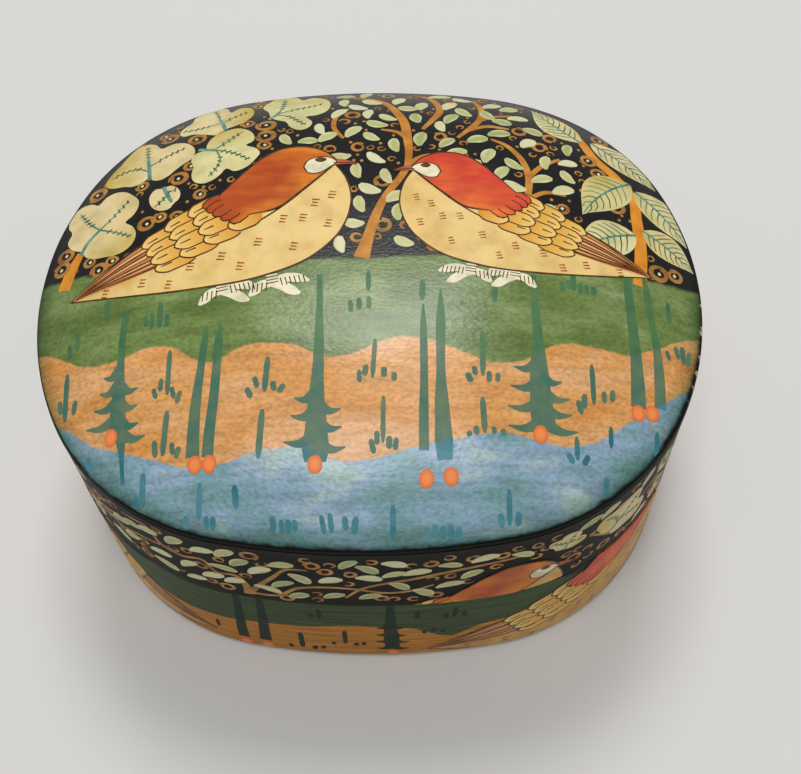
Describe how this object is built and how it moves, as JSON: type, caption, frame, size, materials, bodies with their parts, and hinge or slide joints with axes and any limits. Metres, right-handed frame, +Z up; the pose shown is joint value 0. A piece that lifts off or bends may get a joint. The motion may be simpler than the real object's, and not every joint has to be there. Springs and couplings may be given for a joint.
{
  "type": "oval papier mache box",
  "caption": "Oval lidded trinket box of painted and lacquered papier mache, with upright sides, a low domed lift-off lid and a collar inside the base that locates the lid.",
  "frame": {"origin": "middle of the underside, on the surface that the box stands on", "axes": "+X along the length, +Y to the back, +Z up"},
  "size_m": [0.152, 0.126, 0.0849],
  "materials": {
    "crown_paint": "hand-painted water colours under a clear gloss lacquer",
    "base_paint": "hand-painted water colours under a clear gloss lacquer",
    "black_ground": "hand-painted water colours under a clear gloss lacquer",
    "black_lacquer": "black paint under a satin lacquer",
    "leaf_paint": "hand-painted water colours under a clear gloss lacquer",
    "stem_paint": "hand-painted water colours under a clear gloss lacquer",
    "tree_paint": "hand-painted water colours under a clear gloss lacquer",
    "fruit_paint": "hand-painted water colours under a clear gloss lacquer",
    "bird_paint": "hand-painted water colours under a clear gloss lacquer",
    "line_paint": "hand-painted water colours under a clear gloss lacquer"
  },
  "bodies": {
    "base": {"base_wall": "base_paint", "base_floor": "black_lacquer", "collar": "black_lacquer"},
    "lid": {"lid_band": "black_ground", "lid_crown": "crown_paint"}
  },
  "joints": [
    {"name": "lid_lift", "type": "slide", "parent": "base", "child": "lid", "axis": [0, 0, 1], "range_m": [0, 0.09]}
  ]
}
